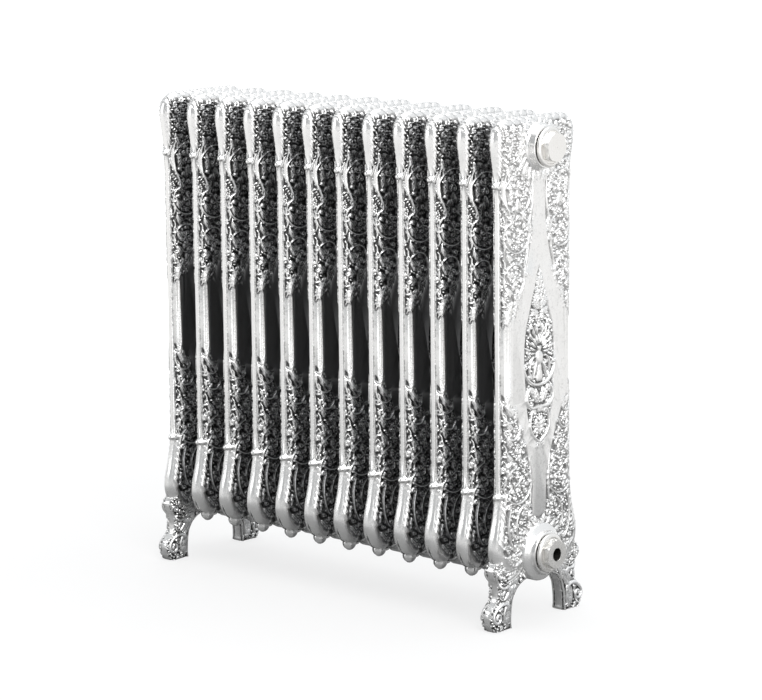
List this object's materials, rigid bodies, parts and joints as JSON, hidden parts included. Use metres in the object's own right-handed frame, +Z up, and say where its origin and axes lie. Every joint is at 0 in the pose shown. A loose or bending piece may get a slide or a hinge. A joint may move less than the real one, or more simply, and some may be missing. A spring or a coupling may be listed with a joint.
{
  "type": "cast iron radiator",
  "caption": "Free-standing ornate cast iron column radiator of scroll-decorated sections, with legs on the end sections, threaded bushes at the hubs and a key-turned air vent.",
  "frame": {"origin": "on the floor, in the middle of the footprint", "axes": "+X along the row of sections, towards the end with the blank plug; -Y towards the front; +Z up"},
  "size_m": [0.8032, 0.226, 0.79],
  "materials": {
    "polished_cast_iron": "hand-burnished, bright on the raised relief and nearly black in the recesses, clear lacquered",
    "nipple_iron": "as machined, oiled, dark",
    "gasket_fibre": "matt black fibre gasket",
    "satin_nickel": "satin nickel plate on turned brass",
    "vent_brass": "turned, bare",
    "vent_nylon": "smooth moulded"
  },
  "bodies": {
    "radiator": {"leg_section_01": "polished_cast_iron", "section_02": "polished_cast_iron", "section_03": "polished_cast_iron", "section_04": "polished_cast_iron", "section_05": "polished_cast_iron", "section_06": "polished_cast_iron", "section_07": "polished_cast_iron", "section_08": "polished_cast_iron", "section_09": "polished_cast_iron", "section_10": "polished_cast_iron", "section_11": "polished_cast_iron", "leg_section_12": "polished_cast_iron", "bottom_nipple_01": "nipple_iron", "bottom_nipple_02": "nipple_iron", "bottom_nipple_03": "nipple_iron", "bottom_nipple_04": "nipple_iron", "bottom_nipple_05": "nipple_iron", "bottom_nipple_06": "nipple_iron", "bottom_nipple_07": "nipple_iron", "bottom_nipple_08": "nipple_iron", "bottom_nipple_09": "nipple_iron", "bottom_nipple_10": "nipple_iron", "bottom_nipple_11": "nipple_iron", "top_nipple_01": "nipple_iron", "top_nipple_02": "nipple_iron", "top_nipple_03": "nipple_iron", "top_nipple_04": "nipple_iron", "top_nipple_05": "nipple_iron", "top_nipple_06": "nipple_iron", "top_nipple_07": "nipple_iron", "top_nipple_08": "nipple_iron", "top_nipple_09": "nipple_iron", "top_nipple_10": "nipple_iron", "top_nipple_11": "nipple_iron", "bottom_gasket_left": "gasket_fibre", "bottom_gasket_right": "gasket_fibre", "top_gasket_left": "gasket_fibre", "top_gasket_right": "gasket_fibre", "valve_bush_left": "satin_nickel", "valve_bush_right": "satin_nickel", "vent_bush": "satin_nickel", "blank_plug": "satin_nickel", "vent_body": "vent_brass"},
    "vent_needle": {"vent_needle": "vent_brass"},
    "vent_nozzle_ring": {"vent_nozzle_ring": "vent_nylon"}
  },
  "joints": [
    {"name": "vent_needle_turn", "type": "hinge", "parent": "radiator", "child": "vent_needle", "pos_m": [-0.392, 0, 0.745], "axis": [-1, 0, 0], "range_deg": [0, 360]},
    {"name": "vent_nozzle_aim", "type": "hinge", "parent": "radiator", "child": "vent_nozzle_ring", "pos_m": [-0.393, 0, 0.745], "axis": [-1, 0, 0], "continuous": true}
  ]
}
